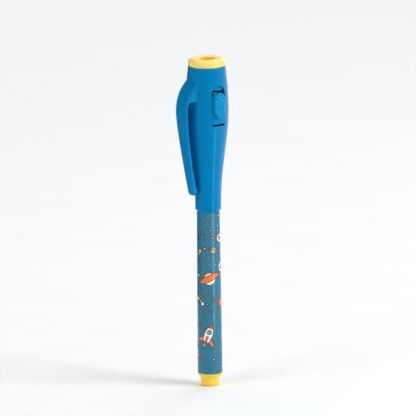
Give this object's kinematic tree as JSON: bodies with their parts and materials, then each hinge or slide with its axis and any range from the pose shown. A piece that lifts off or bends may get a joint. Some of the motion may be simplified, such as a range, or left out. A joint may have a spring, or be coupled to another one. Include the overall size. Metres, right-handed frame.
{
  "type": "invisible-ink marker with ultraviolet lamp cap",
  "caption": "Slim fibre-tipped marker standing on its end plug, with a pull-off cap that holds a pocket clip and a small ultraviolet lamp worked by a sprung thumb lever.",
  "frame": {"origin": "centre of the flat end of the plug that closes the barrel's rear, which the pen stands on", "axes": "+Z along the pen towards the lamp in the cap, -X towards the pocket clip, -Y towards the switch lever"},
  "size_m": [0.0237, 0.0198, 0.146],
  "materials": {
    "blue_plastic": "smooth moulded gloss",
    "yellow_plastic": "smooth moulded gloss",
    "pale_yellow_plastic": "smooth moulded gloss",
    "printed_film": "printed shrink film with small many-coloured motifs",
    "white_plastic": "plain moulded",
    "black_plastic": "plain moulded",
    "fibre": "pressed white fibre",
    "clear_film": "thin film",
    "cell_steel": "bright plated can",
    "lead_steel": "tinned wire",
    "brass_strip": "rolled spring strip",
    "clear_lens": "clear cast resin"
  },
  "bodies": {
    "barrel": {"barrel_tube": "blue_plastic", "barrel_sleeve": "printed_film", "end_plug": "yellow_plastic", "nib_section": "yellow_plastic", "fibre_nib": "fibre", "ink_reservoir": "fibre", "reservoir_wrap": "clear_film"},
    "cap": {"cap_shell": "blue_plastic", "inner_cap": "white_plastic", "cell_carrier": "black_plastic", "button_cell_1": "cell_steel", "button_cell_2": "cell_steel", "button_cell_3": "cell_steel", "lower_contact": "brass_strip", "switch_leaf": "brass_strip", "led_lens": "clear_lens", "led_anode_lead": "lead_steel", "led_cathode_lead": "lead_steel", "led_holder": "black_plastic", "lamp_ring": "pale_yellow_plastic"},
    "lever": {"switch_lever": "blue_plastic"}
  },
  "joints": [
    {"name": "cap_pull", "type": "slide", "parent": "barrel", "child": "cap", "axis": [0, 0, 1], "range_m": [0, 0.045]},
    {"name": "switch_press", "type": "hinge", "parent": "cap", "child": "lever", "pos_m": [0, -0.0074, 0.1193], "axis": [-1, 0, 0], "range_deg": [0, 4.6], "stiffness_Nm_per_rad": 0.15, "springref_deg": -1.15, "deforming": ["switch_leaf"]}
  ]
}
